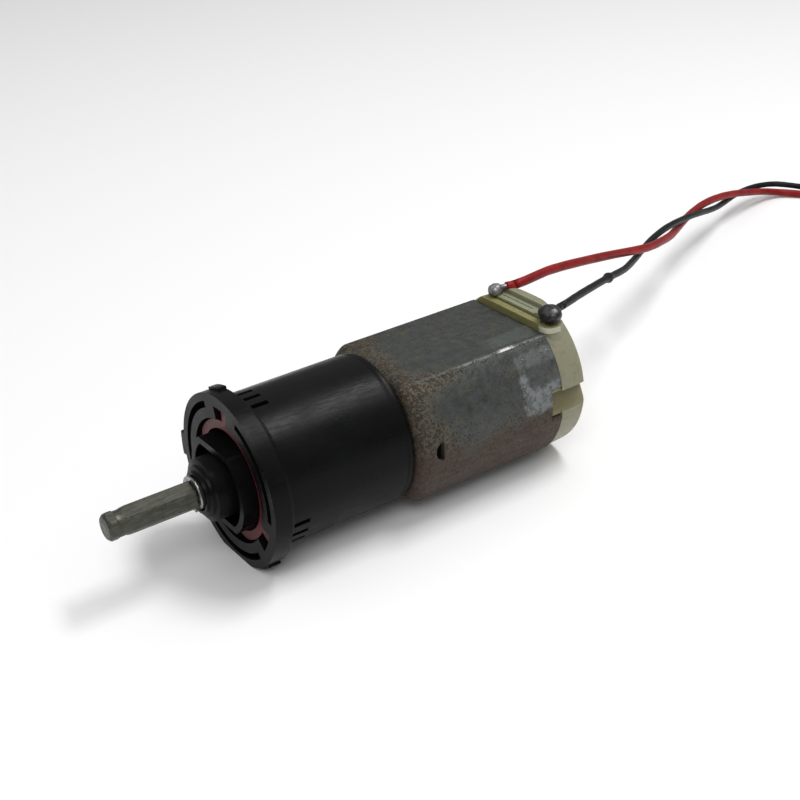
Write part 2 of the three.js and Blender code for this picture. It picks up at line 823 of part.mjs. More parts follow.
add('first_carrier', geometryOf(carrier(firstCarrierFront, firstCarrierRear, sunStub + 0.1)), machinedSteel);
add('second_sun', geometryOf(secondSun()), machinedSteel);
addPlanets('first', firstCarrierFront, firstCarrierRear + gap, firstPlanetRear);

add('motor_shaft', geometryOf(rod(motorShaftFront, capBossEnd - 0.6, motorShaftRadius, 20)), brightSteel);
add('motor_pinion', geometryOf(motorPinion()), bronze);
add('armature_core', geometryOf(armatureCore()), laminations);
for (let pole = 0; pole < poleCount; pole++) {
  add(`coil_${pole + 1}`, geometryOf(coil(pole)), enamelledWire);
}
add('commutator', geometryOf(commutator()), copper);
add('armature_washer', geometryOf(tube(1.6, 4.2, motorShaftRadius + 0.1, 2.4, 24)), whiteAcetal);

for (const [number, side] of [[1, 1], [2, -1]]) {
  add(`brush_${number}`, geometryOf(brush(side)), carbon);
  add(`brush_arm_${number}`, geometryOf(brushArm(side)), bronze);
}
for (const [index, blob] of solderBlobs.entries()) {
  add(`terminal_${index + 1}`, geometryOf(blade(blob, 0)), bronze);
  add(`solder_${index + 1}`, geometryOf(solder(blob)), tinSolder);
}

addTo(part, 'red_lead', lead(redRoute, redRadius, redSteps), redInsulation);
addTo(part, 'black_lead', lead(blackRoute, blackRadius, blackSteps), blackInsulation);
addTo(part, 'red_lead_tip', leadTip(redRoute, tipRadii.red), tinSolder);
addTo(part, 'black_lead_tip', leadTip(blackRoute, tipRadii.black), tinSolder);

export default part;
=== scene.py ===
"""Looks of a small gear motor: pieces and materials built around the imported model.

Metres throughout. The motor axis lies along X, the output shaft points to -X and the leads leave at +X.
"Station" is a place along the axis in millimetres, measured from the joint between gearbox and motor.
Angles around the axis are in degrees, from the -Y side towards +Z.
"""
import json
import math

import bmesh
import bpy
from mathutils import Matrix, Vector, noise


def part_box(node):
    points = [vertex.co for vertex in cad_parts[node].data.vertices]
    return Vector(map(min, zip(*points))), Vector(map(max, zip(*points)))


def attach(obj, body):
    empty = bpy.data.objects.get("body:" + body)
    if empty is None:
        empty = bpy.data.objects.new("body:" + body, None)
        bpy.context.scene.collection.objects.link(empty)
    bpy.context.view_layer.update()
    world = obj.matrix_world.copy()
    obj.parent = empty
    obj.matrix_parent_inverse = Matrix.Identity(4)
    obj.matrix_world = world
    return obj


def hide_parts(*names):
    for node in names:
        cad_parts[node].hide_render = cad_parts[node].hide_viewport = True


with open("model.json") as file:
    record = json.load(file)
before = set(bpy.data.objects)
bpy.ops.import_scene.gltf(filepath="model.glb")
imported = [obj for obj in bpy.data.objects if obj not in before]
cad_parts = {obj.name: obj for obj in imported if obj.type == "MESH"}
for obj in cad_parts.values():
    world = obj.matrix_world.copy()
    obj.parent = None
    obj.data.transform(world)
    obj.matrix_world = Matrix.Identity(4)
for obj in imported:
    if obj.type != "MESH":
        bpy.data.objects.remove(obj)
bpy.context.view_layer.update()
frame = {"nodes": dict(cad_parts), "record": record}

MM = 0.001
shaft_low, shaft_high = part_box("motor_shaft")
can_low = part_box("motor_can")[0]
CAN_BOSS_LENGTH = 1.6
AXIS_HEIGHT = (shaft_low.z + shaft_high.z) / 2 / MM
STATION_ZERO = can_low.x / MM + CAN_BOSS_LENGTH

# Driving sizes of the can and the end cap, in millimetres.
CAN_RADIUS = 13.85
CAN_FLAT = 10.4
CAN_FOLD = 1.0
CAN_END = 27.8
FOLD_ANGLE = 48.5
FAR_FOLD_ANGLE = 128
# Station of the painted highlight streak on the near fold line.
PAINTED_GLINT_STATION = 20
CAP_FRONT = 28.0
CAP_END = 33.0
BOSS_END = 34.8
RIDGE_FRONT = 31.5
PAD_HEIGHT = 12.0
RIDGE_HEIGHT = 12.75

# ---------- camera ----------

AZIMUTH, ELEVATION, ROLL = math.radians(-33.40), math.radians(28.01), math.radians(-3.588)
CAMERA_PLACE = Vector((-97.992, -165.592, 121.301)) * MM
SENSOR_WIDTH = 36
FOCAL_LENGTH = 63.69
back = Vector((
    math.sin(AZIMUTH) * math.cos(ELEVATION),
    -math.cos(AZIMUTH) * math.cos(ELEVATION),
    math.sin(ELEVATION),
))
camera_data = bpy.data.cameras.new("camera")
camera_data.sensor_width = SENSOR_WIDTH
camera_data.lens = FOCAL_LENGTH
camera = bpy.data.objects.new("camera", camera_data)
camera.rotation_mode = "QUATERNION"
camera.location = CAMERA_PLACE
camera.rotation_quaternion = (-back).to_track_quat("-Z", "Y") @ Matrix.Rotation(ROLL, 3, "Z").to_quaternion()
camera_data.clip_start = 0.01
bpy.context.scene.collection.objects.link(camera)
bpy.context.scene.camera = camera


# ---------- node materials ----------

class Shader:
    """A node material. Positions inside it are in millimetres in the part's own frame."""

    def __init__(self, name, **constants):
        self.material = bpy.data.materials.new(name)
        self.material.use_nodes = True
        self.tree = self.material.node_tree
        self.surface = self.tree.nodes["Principled BSDF"]
        for socket, value in constants.items():
            self.surface.inputs[socket.replace("_", " ")].default_value = value
        coordinates = self.tree.nodes.new("ShaderNodeTexCoord")
        scale = self.tree.nodes.new("ShaderNodeMapping")
        scale.inputs["Scale"].default_value = (1 / MM,) * 3
        self.tree.links.new(coordinates.outputs["Object"], scale.inputs["Vector"])
        self.place = scale.outputs["Vector"]
        split = self.tree.nodes.new("ShaderNodeSeparateXYZ")
        self.tree.links.new(self.place, split.inputs["Vector"])
        self.x, self.y, self.z = split.outputs

    def put(self, node, socket, value):
        """Links or sets one input."""
        if isinstance(value, bpy.types.NodeSocket):
            self.tree.links.new(value, node.inputs[socket])
        elif value is not None:
            node.inputs[socket].default_value = value

    def set(self, socket, value):
        self.put(self.surface, socket, value)

    def math(self, operation, a, b=None, c=None):
        node = self.tree.nodes.new("ShaderNodeMath")
        node.operation = operation
        for i, value in enumerate((a, b, c)):
            self.put(node, i, value)
        return node.outputs[0]

    def times(self, a, b):
        return self.math("MULTIPLY", a, b)

    def plus(self, a, b):
        return self.math("ADD", a, b)

    def minus(self, a, b):
        return self.math("SUBTRACT", a, b)

    def largest(self, a, b):
        return self.math("MAXIMUM", a, b)

    def fade(self, value, start, end, low=0.0, high=1.0):
        """low up to start, high from end on, and a smooth step between."""
        node = self.tree.nodes.new("ShaderNodeMapRange")
        node.interpolation_type = "SMOOTHSTEP"
        for i, number in enumerate((value, start, end, low, high)):
            self.put(node, i, number)
        return node.outputs[0]

    def around(self, value, middle, start, end):
        """1 where value is within start of the middle, and 0 from end on."""
        return self.fade(self.math("ABSOLUTE", self.minus(value, middle)), start, end, 1, 0)

    def station(self):
        return self.minus(self.x, STATION_ZERO)

    def height(self):
        """Height above the motor axis."""
        return self.minus(self.z, AXIS_HEIGHT)

    def angle(self):
        """Degrees around the motor axis, from -Y towards +Z."""
        up = self.height()
        out = self.times(self.y, -1)
        return self.times(self.math("ARCTAN2", up, out), math.degrees(1))

    def stretched(self, x, y, z):
        node = self.tree.nodes.new("ShaderNodeMapping")
        self.put(node, "Vector", self.place)
        node.inputs["Scale"].default_value = (x, y, z)
        return node.outputs["Vector"]

    def noise(self, scale, detail=4.0, roughness=0.55, vector=None, distortion=0.0):
        node = self.tree.nodes.new("ShaderNodeTexNoise")
        self.put(node, "Vector", vector or self.place)
        node.inputs["Scale"].default_value = scale
        node.inputs["Detail"].default_value = detail
        node.inputs["Roughness"].default_value = roughness
        node.inputs["Distortion"].default_value = distortion
        return node.outputs[0]

    def cells(self, scale):
        node = self.tree.nodes.new("ShaderNodeTexVoronoi")
        self.put(node, "Vector", self.place)
        node.inputs["Scale"].default_value = scale
        return node.outputs["Distance"]

    def mix(self, share, first, second):
        """first where share is 0, second where it is 1; colours."""
        node = self.tree.nodes.new("ShaderNodeMix")
        node.data_type = "RGBA"
        self.put(node, 0, share)
        self.put(node, 6, first)
        self.put(node, 7, second)
        return node.outputs[2]

    def relief(self, height, distance, strength=1.0, under=None):
        """A bump of this height in millimetres, on top of another if given."""
        node = self.tree.nodes.new("ShaderNodeBump")
        node.inputs["Strength"].default_value = strength
        node.inputs["Distance"].default_value = distance * MM
        self.put(node, "Height", height)
        self.put(node, "Normal", under)
        return node.outputs["Normal"]


def grey(value, warm=0.0):
    return (value * (1 + warm), value, value * (1 - warm), 1)


def black_plastic(name):
    """Satin black moulding with fine grain, worn patches and dust."""
    s = Shader(name, Specular_IOR_Level=0.085)
    grain = s.noise(9, 3, 0.6)
    patches = s.noise(0.16, 5, 0.6, distortion=0.6)
    scratches = s.noise(1.4, 4, 0.7, vector=s.stretched(0.25, 2.2, 2.2))
    dust = s.times(s.fade(s.noise(5.5, 6, 0.75), 0.56, 0.72), s.fade(patches, 0.42, 0.66))
    colour = s.mix(patches, (0.0024, 0.0026, 0.0029, 1), (0.005, 0.0052, 0.0055, 1))
    s.set("Base Color", s.mix(s.times(dust, 0.4), colour, (0.022, 0.0215, 0.02, 1)))
    wear = s.fade(s.plus(s.times(scratches, 0.55), s.times(patches, 0.45)), 0.35, 0.65, 0.24, 0.42)
    s.set("Roughness", s.plus(wear, s.times(dust, 0.12)))
    fine = s.relief(grain, 0.018, 0.55)
    s.set("Normal", s.relief(scratches, 0.02, 0.5, under=fine))
    return s.material


def red_plastic(name):
    s = Shader(name, Specular_IOR_Level=0.3, Subsurface_Weight=0.05, Subsurface_Scale=0.001)
    cloud = s.noise(0.5, 4, 0.6)
    s.set("Base Color", s.mix(cloud, (0.045, 0.005, 0.007, 1), (0.14, 0.014, 0.019, 1)))
    s.set("Roughness", s.fade(s.noise(3, 5, 0.6), 0.3, 0.7, 0.36, 0.56))
    s.set("Normal", s.relief(s.noise(7, 3, 0.6), 0.02, 0.5))
    return s.material


def nylon(name):
    """Aged natural nylon: slightly see-through, with painted shade darkening the side channels to
    yellow-brown, and dark specks.
    """
    s = Shader(name, Subsurface_Weight=0.35, Subsurface_Scale=0.0015, Specular_IOR_Level=0.5)
    s.surface.inputs["Subsurface Radius"].default_value = (1.0, 0.85, 0.35)
    cloud = s.noise(0.22, 5, 0.6, distortion=0.4)
    colour = s.mix(cloud, (0.18, 0.175, 0.105, 1), (0.255, 0.248, 0.17, 1))
    station = s.station()
    height = s.height()
    strip = s.times(s.fade(height, 9.6, 10.6), s.fade(station, CAP_FRONT + 1.3, CAP_FRONT + 1.6, 1, 0))
    colour = s.mix(s.times(strip, 0.85), colour, (0.21, 0.195, 0.065, 1))
    pad = s.times(s.fade(height, 11.2, 11.9), s.fade(station, RIDGE_FRONT, RIDGE_FRONT + 0.5, 1, 0))
    colour = s.mix(s.times(s.times(pad, 0.7), s.fade(strip, 0, 1, 1, 0)), colour, (0.235, 0.25, 0.165, 1))
    sideways = s.math("ABSOLUTE", height)
    # Painted shade: the side channels darker yellow-brown, most at their front end by the can.
    channel_shade = s.times(s.fade(sideways, 1.9, 2.6, 1, 0), s.fade(s.math("ABSOLUTE", s.y), 12.8, 13.3, 1, 0))
    channel_shade = s.times(channel_shade, s.fade(station, CAP_FRONT + 1, CAP_FRONT + 4, 1, 0.45))
    colour = s.mix(s.times(channel_shade, 0.75), colour, (0.135, 0.115, 0.04, 1))
    grime = s.times(s.fade(s.noise(0.9, 7, 0.7), 0.5, 0.72), 0.45)
    colour = s.mix(grime, colour, (0.115, 0.1, 0.05, 1))
    specks = s.times(s.fade(s.cells(1.1), 0.07, 0.16, 1, 0), s.fade(s.noise(0.7, 3), 0.5, 0.58))
    colour = s.mix(s.times(specks, 0.8), colour, (0.035, 0.028, 0.016, 1))
    s.set("Base Color", colour)
    s.set("Roughness", s.fade(s.noise(1.3, 5, 0.6), 0.3, 0.7, 0.36, 0.58))
    s.set("Normal", s.relief(s.noise(4.5, 5, 0.6), 0.03, 0.6))
    return s.material


def zinc_steel(name, worn=True):
    """Dull zinc-plated sheet with mottling and drawing streaks; a worn one is also stained and rusty, and
    has painted highlights on its near fold line and front corner.
    """
    s = Shader(name)
    mottle = s.noise(0.55, 7, 0.66, distortion=0.5)
    streaks = s.noise(1.1, 5, 0.65, vector=s.stretched(0.14, 1.6, 1.6))
    crystals = s.cells(2.4)
    colour = s.mix(s.fade(mottle, 0.3, 0.7), (0.036, 0.041, 0.039, 1), (0.078, 0.084, 0.079, 1))
    colour = s.mix(s.times(s.fade(streaks, 0.36, 0.64), 0.42), colour, (0.05, 0.057, 0.056, 1))
    colour = s.mix(s.times(s.fade(crystals, 0.1, 0.6), 0.16), colour, (0.1, 0.108, 0.103, 1))
    metallic = 0.62
    rough = s.fade(s.plus(s.times(mottle, 0.6), s.times(streaks, 0.4)), 0.35, 0.65, 0.36, 0.56)
    normal = s.relief(streaks, 0.02, 0.5, under=s.relief(s.noise(6, 4, 0.6), 0.012, 0.5))
    # The worn finish also carries painted highlights on the near fold line and the front corner.
    if worn:
        station = s.station()
        angle = s.angle()
        # Stains and rust, and the painted highlight on the front corner.
        colour, stain, rust = stains_rust_and_highlight(s, colour, station, angle)
        colour, patch = corroded(s, colour, station, angle)
        # Painted highlights along the near fold line.
        colour = fold_highlights(s, colour, station, angle)
        dull = s.largest(s.largest(rust, s.times(patch, 0.8)), s.times(stain, 0.8))
        metallic = s.fade(dull, 0, 1, metallic, 0.0)
        rough = s.plus(rough, s.times(dull, 0.3))
        normal = s.relief(s.plus(rust, s.times(patch, 0.5)), 0.06, 0.8, under=normal)
    s.set("Base Color", colour)
    s.set("Metallic", metallic)
    s.set("Roughness", rough)
    s.set("Normal", normal)
    return s.material


def wear_amount(s, station, angle):
    """How worn the can is at each place: most at its shoulder, low down, and along its fold lines."""
    wander = s.times(s.minus(s.noise(0.2, 3), 0.5), 10)
    shoulder = s.fade(s.plus(station, s.times(wander, 0.5)), 1.5, 6.5, 1, 0)
    low = s.times(s.fade(s.plus(angle, s.times(wander, 3)), -14, 12, 1, 0), s.fade(angle, -60, -40))
    ridge = s.times(s.around(angle, FOLD_ANGLE - 3, 2, 9), s.fade(s.plus(station, wander), 5, 13, 1, 0))
    edge = s.times(s.around(angle, FAR_FOLD_ANGLE, 4, 16), s.fade(station, 6, 14, 1, 0))
    hole = s.times(s.around(station, 3.6, 1, 5), s.fade(s.math("ABSOLUTE", angle), 8, 22, 1, 0))
    amount = s.plus(s.times(shoulder, 0.75), s.times(low, 0.75))
    amount = s.plus(amount, s.plus(s.times(ridge, 0.62), s.times(edge, 0.5)))
    return s.math("MINIMUM", s.plus(s.plus(amount, s.times(hole, 0.5)), 0.22), 1)


def stains_rust_and_highlight(s, colour, station, angle):
    """Brown stains, pale cream speckles painted on the front corner as its warm highlight, and dark rust
    specks that crowd where it is worn.
    """
    amount = wear_amount(s, station, angle)
    stain_noise = s.plus(s.times(s.noise(1.3, 8, 0.7), 0.6), s.times(s.noise(0.4, 5, 0.6), 0.4))
    stain = s.times(s.fade(s.plus(stain_noise, s.times(amount, 0.24)), 0.56, 0.72), 0.8)
    red_side = s.fade(angle, -8, 6, 1, 0)
    stain_tone = s.mix(red_side, (0.082, 0.068, 0.037, 1), (0.052, 0.037, 0.023, 1))
    colour = s.mix(stain, colour, stain_tone)
    # Painted highlight: pale cream speckles where the shoulder meets the near fold.
    corner = s.times(s.around(angle, FOLD_ANGLE - 2, 2, 12), s.fade(station, 1, 8, 1, 0))
    cream = s.times(s.fade(s.noise(2.4, 6, 0.7), 0.46, 0.58), corner)
    colour = s.mix(s.times(cream, 0.6), colour, (0.19, 0.165, 0.105, 1))
    ragged = s.times(s.minus(s.noise(4.5, 3, 0.6), 0.5), 0.5)
    dots = s.fade(s.plus(s.cells(1.9), ragged), 0.27, 0.41, 1, 0)
    fine_dots = s.fade(s.plus(s.cells(3.4), ragged), 0.26, 0.4, 1, 0)
    crowd = s.fade(s.plus(s.noise(0.8, 5, 0.65), s.times(amount, 0.42)), 0.54, 0.7)
    specks = s.times(s.largest(dots, s.times(fine_dots, 0.8)), crowd)
    blots = s.fade(s.plus(s.noise(1.7, 7, 0.7), s.times(amount, 0.2)), 0.68, 0.75)
    rust = s.largest(specks, blots)
    tone = s.fade(s.plus(s.noise(1.1, 5, 0.7), s.times(red_side, 0.14)), 0.45, 0.62)
    rust_tone = s.mix(tone, (0.011, 0.008, 0.005, 1), (0.045, 0.019, 0.011, 1))
    return s.mix(s.times(rust, 0.96), colour, rust_tone), stain, rust


def corroded(s, colour, station, angle):
    """The pale patch with a frayed outline near the can's rear edge, and bright crystals above it."""
    frayed = s.times(s.minus(s.noise(0.75, 7, 0.7), 0.5), 9)
    rear = s.times(s.fade(s.plus(station, s.times(frayed, 0.45)), 19.8, 20.8), s.fade(station, 28.4, 27.4))
    low_end = s.fade(s.plus(angle, s.times(frayed, 1.5)), -2, 1)
    aside = s.times(low_end, s.fade(s.plus(angle, s.times(frayed, 1.6)), 39, 43, 1, 0))
    inside = s.times(s.fade(angle, 15, 20), s.fade(s.plus(angle, frayed), 29, 34, 1, 0))
    inside = s.times(inside, s.fade(s.plus(station, s.times(frayed, 0.3)), 21, 22.2))
    frost = s.fade(s.noise(0.9, 8, 0.75, distortion=0.6), 0.38, 0.56)
    patch = s.times(s.times(rear, aside), s.plus(s.times(frost, 0.75), 0.25))
    patch = s.times(patch, s.fade(inside, 0, 1, 1, 0.25))
    patch = s.times(patch, s.fade(angle, 24, 32, 1, 0.5))
    colour = s.mix(s.times(patch, 0.8), colour, (0.19, 0.21, 0.21, 1))
    sparkle = s.times(s.fade(s.noise(1.6, 7, 0.75), 0.6, 0.66), s.times(rear, s.fade(angle, 30, 34)))
    sparkle = s.times(sparkle, s.fade(s.plus(angle, frayed), 44, 48, 1, 0))
    colour = s.mix(sparkle, colour, (0.42, 0.45, 0.45, 1))
    bloom = s.times(s.fade(s.plus(station, frayed), 17, 20), s.fade(angle, 50, 54))
    bloom = s.times(bloom, s.fade(s.plus(angle, frayed), 64, 68, 1, 0))

    flat_top = s.fade(angle, 56, 62)
    scatter = s.fade(s.noise(2.6, 7, 0.8, distortion=1.2), 0.62, 0.67)
    flecks = s.times(scatter, s.fade(s.noise(0.18, 3), 0.48, 0.6))
    flecks = s.times(flecks, s.times(flat_top, s.fade(station, 12, 16)))
    colour = s.mix(s.times(flecks, 0.7), colour, (0.15, 0.165, 0.17, 1))
    return s.mix(s.times(bloom, 0.3), colour, (0.15, 0.175, 0.16, 1)), patch


def fold_highlights(s, colour, station, angle):
    """Painted highlights on the near fold line: a thin lighter line, broken in places, and one short bright
    streak.
    """
    near_fold = s.around(angle, FOLD_ANGLE, 0.5, 1.6)
    # Painted highlight: one short bright streak on the near fold.
    painted_glint = s.times(near_fold, s.around(station, PAINTED_GLINT_STATION, 1.2, 1.8))
    painted_glint = s.times(painted_glint, s.fade(s.noise(2.4, 5, 0.7), 0.4, 0.5))
    colour = s.mix(s.times(painted_glint, 0.9), colour, (0.55, 0.56, 0.54, 1))
    # Painted highlight: a thin lighter line along the near fold, broken in places.
    fold_line_highlight = s.times(near_fold, s.fade(s.noise(0.9, 6, 0.7, vector=s.stretched(0.3, 1, 1)), 0.42, 0.6))
    return s.mix(s.times(fold_line_highlight, 0.45), colour, (0.13, 0.135, 0.125, 1))


def machined_steel(name):
    """Turned and milled steel, dull olive grey, with marks along its length."""
    s = Shader(name)
    lines = s.noise(2.6, 5, 0.7, vector=s.stretched(0.12, 2.6, 2.6))
    cloud = s.noise(0.8, 6, 0.65)
    colour = s.mix(s.fade(lines, 0.35, 0.65), (0.048, 0.049, 0.039, 1), (0.1, 0.1, 0.084, 1))
    s.set("Base Color", s.mix(s.times(s.fade(cloud, 0.45, 0.7), 0.4), colour, (0.034, 0.031, 0.022, 1)))
    s.set("Metallic", 0.7)
    s.set("Roughness", s.fade(cloud, 0.3, 0.7, 0.34, 0.55))
    s.set("Normal", s.relief(lines, 0.03, 0.7))
    return s.material


def bright_metal(name, dark, light, roughness=0.3):
    s = Shader(name)
    turning = s.noise(2.2, 5, 0.6, vector=s.stretched(3.0, 0.6, 0.6))
    cloud = s.noise(0.7, 5, 0.6)
    s.set("Base Color", s.mix(s.fade(cloud, 0.3, 0.7), dark, light))
    s.set("Metallic", 0.95)
    s.set("Roughness", s.fade(turning, 0.3, 0.7, roughness - 0.06, roughness + 0.12))
    s.set("Normal", s.relief(turning, 0.015, 0.6))
    return s.material


def solder_metal(name, dark, light):
    s = Shader(name)
    lumps = s.noise(1.2, 3, 0.5)
    frost = s.noise(4, 4, 0.6)
    s.set("Base Color", s.mix(s.fade(lumps, 0.4, 0.62), dark, light))
    s.set("Metallic", 0.85)
    s.set("Roughness", s.fade(frost, 0.35, 0.65, 0.34, 0.52))
    s.set("Normal", s.relief(lumps, 0.04, 0.5))
    return s.material


def insulation(name, dark, light):
    s = Shader(name, Specular_IOR_Level=0.16)
    cloud = s.noise(0.35, 5, 0.6)
    skin = s.noise(4.2, 4, 0.6)
    s.set("Base Color", s.mix(s.fade(cloud, 0.3, 0.7), dark, light))
    s.set("Roughness", s.fade(skin, 0.3, 0.7, 0.38, 0.55))
    s.set("Normal", s.relief(skin, 0.02, 0.6))
    return s.material


def plain(name, dark, light, roughness, metallic=0.0, scale=1.0):
    """A quiet finish for what is hidden inside."""
    s = Shader(name)
    cloud = s.noise(scale, 5, 0.6)
    s.set("Base Color", s.mix(s.fade(cloud, 0.3, 0.7), dark, light))
    s.set("Metallic", metallic)
    s.set("Roughness", s.fade(cloud, 0.3, 0.7, roughness - 0.08, roughness + 0.08))
    s.set("Normal", s.relief(s.noise(5 * scale, 4, 0.6), 0.02, 0.5))
    return s.material


FINISHES = {
    "black_plastic": black_plastic("black_plastic"),
    "red_plastic": red_plastic("red_plastic"),
    "nylon": nylon("nylon"),
    "acetal": plain("acetal", grey(0.5, 0.04), grey(0.66, 0.03), 0.45),
    "zinc_steel": zinc_steel("zinc_steel_clean", worn=False),
    "machined_steel": machined_steel("machined_steel"),
    "bright_steel": bright_metal("bright_steel", grey(0.14, 0.02), grey(0.34, 0.02)),
    "laminated_steel": plain("laminated_steel", grey(0.11), grey(0.2), 0.45, 0.8, 2),
    "bronze": bright_metal("bronze", (0.2, 0.11, 0.045, 1), (0.38, 0.23, 0.1, 1), 0.38),
    "copper": bright_metal("copper", (0.36, 0.1, 0.035, 1), (0.56, 0.19, 0.08, 1), 0.34),
    "enamelled_wire": plain("enamelled_wire", (0.2, 0.035, 0.01, 1), (0.36, 0.08, 0.02, 1), 0.35, 0.5, 3),
    "ferrite": plain("ferrite", grey(0.025), grey(0.05), 0.7, 0.1, 2),
    "carbon": plain("carbon", grey(0.015), grey(0.035), 0.75, 0.0, 3),
    "tin_solder": solder_metal("tin_solder", grey(0.16), grey(0.33)),
    "red_insulation": insulation("red_insulation", (0.155, 0.006, 0.007, 1), (0.27, 0.012, 0.012, 1)),
    "black_insulation": insulation("black_insulation", (0.003, 0.0045, 0.005, 1), (0.009, 0.0115, 0.012, 1)),
}
SLOT_OF = {part["node"]: part["material_slot"] for part in frame["record"]["subparts"]}
for node, node_object in frame["nodes"].items():
    node_object.data.materials.clear()
    node_object.data.materials.append(FINISHES[SLOT_OF[node]])

# ---------- outlines across the axis ----------


def polar(angle, radius):
    return (radius * math.cos(math.radians(angle)), radius * math.sin(math.radians(angle)))


def arc(radius, start, end, steps):
    return [polar(start + (end - start) * i / steps, radius) for i in range(steps + 1)]


def circle(radius, steps=64):
    return arc(radius, 0, 360, steps)[:-1]


def arc_band(inner, outer, middle, span):
    start, end = middle - span / 2, middle + span / 2
    steps = max(4, int(span / 2.5))
    return arc(outer, start, end, steps) + arc(inner, end, start, steps)


def flat_sided(radius, flat, corner):
    """A circle with flat sides above and below, its fold lines rounded with the corner radius."""
    centre_v = flat - corner
    centre_u = math.sqrt((radius - corner) ** 2 - centre_v ** 2)
    fold = math.degrees(math.atan2(centre_v, centre_u))
    side_steps, fold_steps = 24, 12
    quarter = arc(radius, 0, fold, side_steps)[:-1]
    quarter += [(centre_u + u, centre_v + v) for u, v in arc(corner, fold, 90, fold_steps)]
    upper = quarter + [(-u, v) for u, v in reversed(quarter)]
    lower = [(u, -v) for u, v in reversed(upper)][1:-1]
    return upper + lower


# ---------- solids ----------

# Cutting tools reach this far across the axis, past every piece, in millimetres.
WIDE = 20
# A lathe profile stays this far from the axis, so that its faces keep an area.
AXIS_GAP = 1e-4


def point(station, u, v):
    """A place in the part's frame, from its station and its place across the axis."""
    return Vector((STATION_ZERO + station, -u, AXIS_HEIGHT + v)) * MM


def mesh_object(name, mesh_builder):
    bmesh.ops.remove_doubles(mesh_builder, verts=mesh_builder.verts, dist=1e-7)
    bmesh.ops.recalc_face_normals(mesh_builder, faces=mesh_builder.faces)
    mesh = bpy.data.meshes.new(name)
    mesh_builder.to_mesh(mesh)
    mesh_builder.free()
    made = bpy.data.objects.new(name, mesh)
    bpy.context.scene.collection.objects.link(made)
    return made


def loft(name, rings, closed=False):
    """Joins rings of equally many points; open lofts get a flat face at each end."""
    builder = bmesh.new()
    rows = [[builder.verts.new(place) for place in ring] for ring in rings]
    count = len(rows[0])
    pairs = list(zip(rows, rows[1:])) + ([(rows[-1], rows[0])] if closed else [])
    for first, second in pairs:
        for i in range(count):
            j = (i + 1) % count
            builder.faces.new((first[i], first[j], second[j], second[i]))
    if not closed:
        builder.faces.new(rows[0])
        builder.faces.new(rows[-1])
    return mesh_object(name, builder)


def prism(outline, front, rear):
    return loft("tool", [[point(station, u, v) for u, v in outline] for station in (front, rear)])


def turned(profile, segments=160):
    """A lathe piece; the profile lists (station, radius) and closes on itself."""
    rings = []
    for station, radius in profile:
        ring = circle(max(radius, AXIS_GAP), segments)
        rings.append([point(station, u, v) for u, v in ring])
    return loft("tool", rings, closed=True)


def rod(front, rear, radius, centre=(0, 0)):
    return prism([(u + centre[0], v + centre[1]) for u, v in circle(radius)], front, rear)


def tube(front, rear, inner, outer, segments=160):
    return turned([(front, inner), (front, outer), (rear, outer), (rear, inner)], segments)


def box(front, rear, left, right, low, high):
    return prism([(left, low), (right, low), (right, high), (left, high)], front, rear)


def settle(made):
    """Applies an object's modifiers to its mesh."""
    graph = bpy.context.evaluated_depsgraph_get()
    mesh = bpy.data.meshes.new_from_object(made.evaluated_get(graph))
    made.modifiers.clear()
    made.data = mesh
    return made


def combine(operation, base, tools):
    for tool in tools:
        modifier = base.modifiers.new("combine", "BOOLEAN")
        modifier.operation = operation
        modifier.solver = "MANIFOLD"
        modifier.object = tool
    settle(base)
    for tool in tools:
        bpy.data.objects.remove(tool)
    return base


def cut(base, *tools):
    return combine("DIFFERENCE", base, tools)


def join(base, *tools):
    return combine("UNION", base, tools)


def keep_common(base, *tools):
    return combine("INTERSECT", base, tools)


def finish_piece(made, name, slot_name, body="casing", bevel=0.1, replaces=(), material=None, segments=2):
    """Names a piece, rounds its edges, gives it a finish and sets it on its body."""
    made.name = name
    made.data.name = name
    builder = bmesh.new()
    builder.from_mesh(made.data)
    bmesh.ops.remove_doubles(builder, verts=builder.verts, dist=2e-6)
    bmesh.ops.dissolve_degenerate(builder, edges=builder.edges, dist=2e-6)
    bmesh.ops.dissolve_limit(
        builder, angle_limit=math.radians(0.6), verts=builder.verts, edges=builder.edges,
        use_dissolve_boundaries=False,
    )
    for face in builder.faces:
        face.smooth = True
    builder.to_mesh(made.data)
    builder.free()
    if bevel:
        rounding = made.modifiers.new("rounding", "BEVEL")
        rounding.width = bevel * MM
        rounding.segments = segments
        rounding.limit_method = "ANGLE"
        rounding.angle_limit = math.radians(28)
        rounding.use_clamp_overlap = True
        rounding.harden_normals = False
    weighted = made.modifiers.new("weighted", "WEIGHTED_NORMAL")
    weighted.keep_sharp = False
    weighted.weight = 60
    made.data.materials.clear()
    made.data.materials.append(material or FINISHES[slot_name])
    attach(made, body)
    if replaces:
        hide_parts(*replaces)
    return made


# ---------- leads ----------

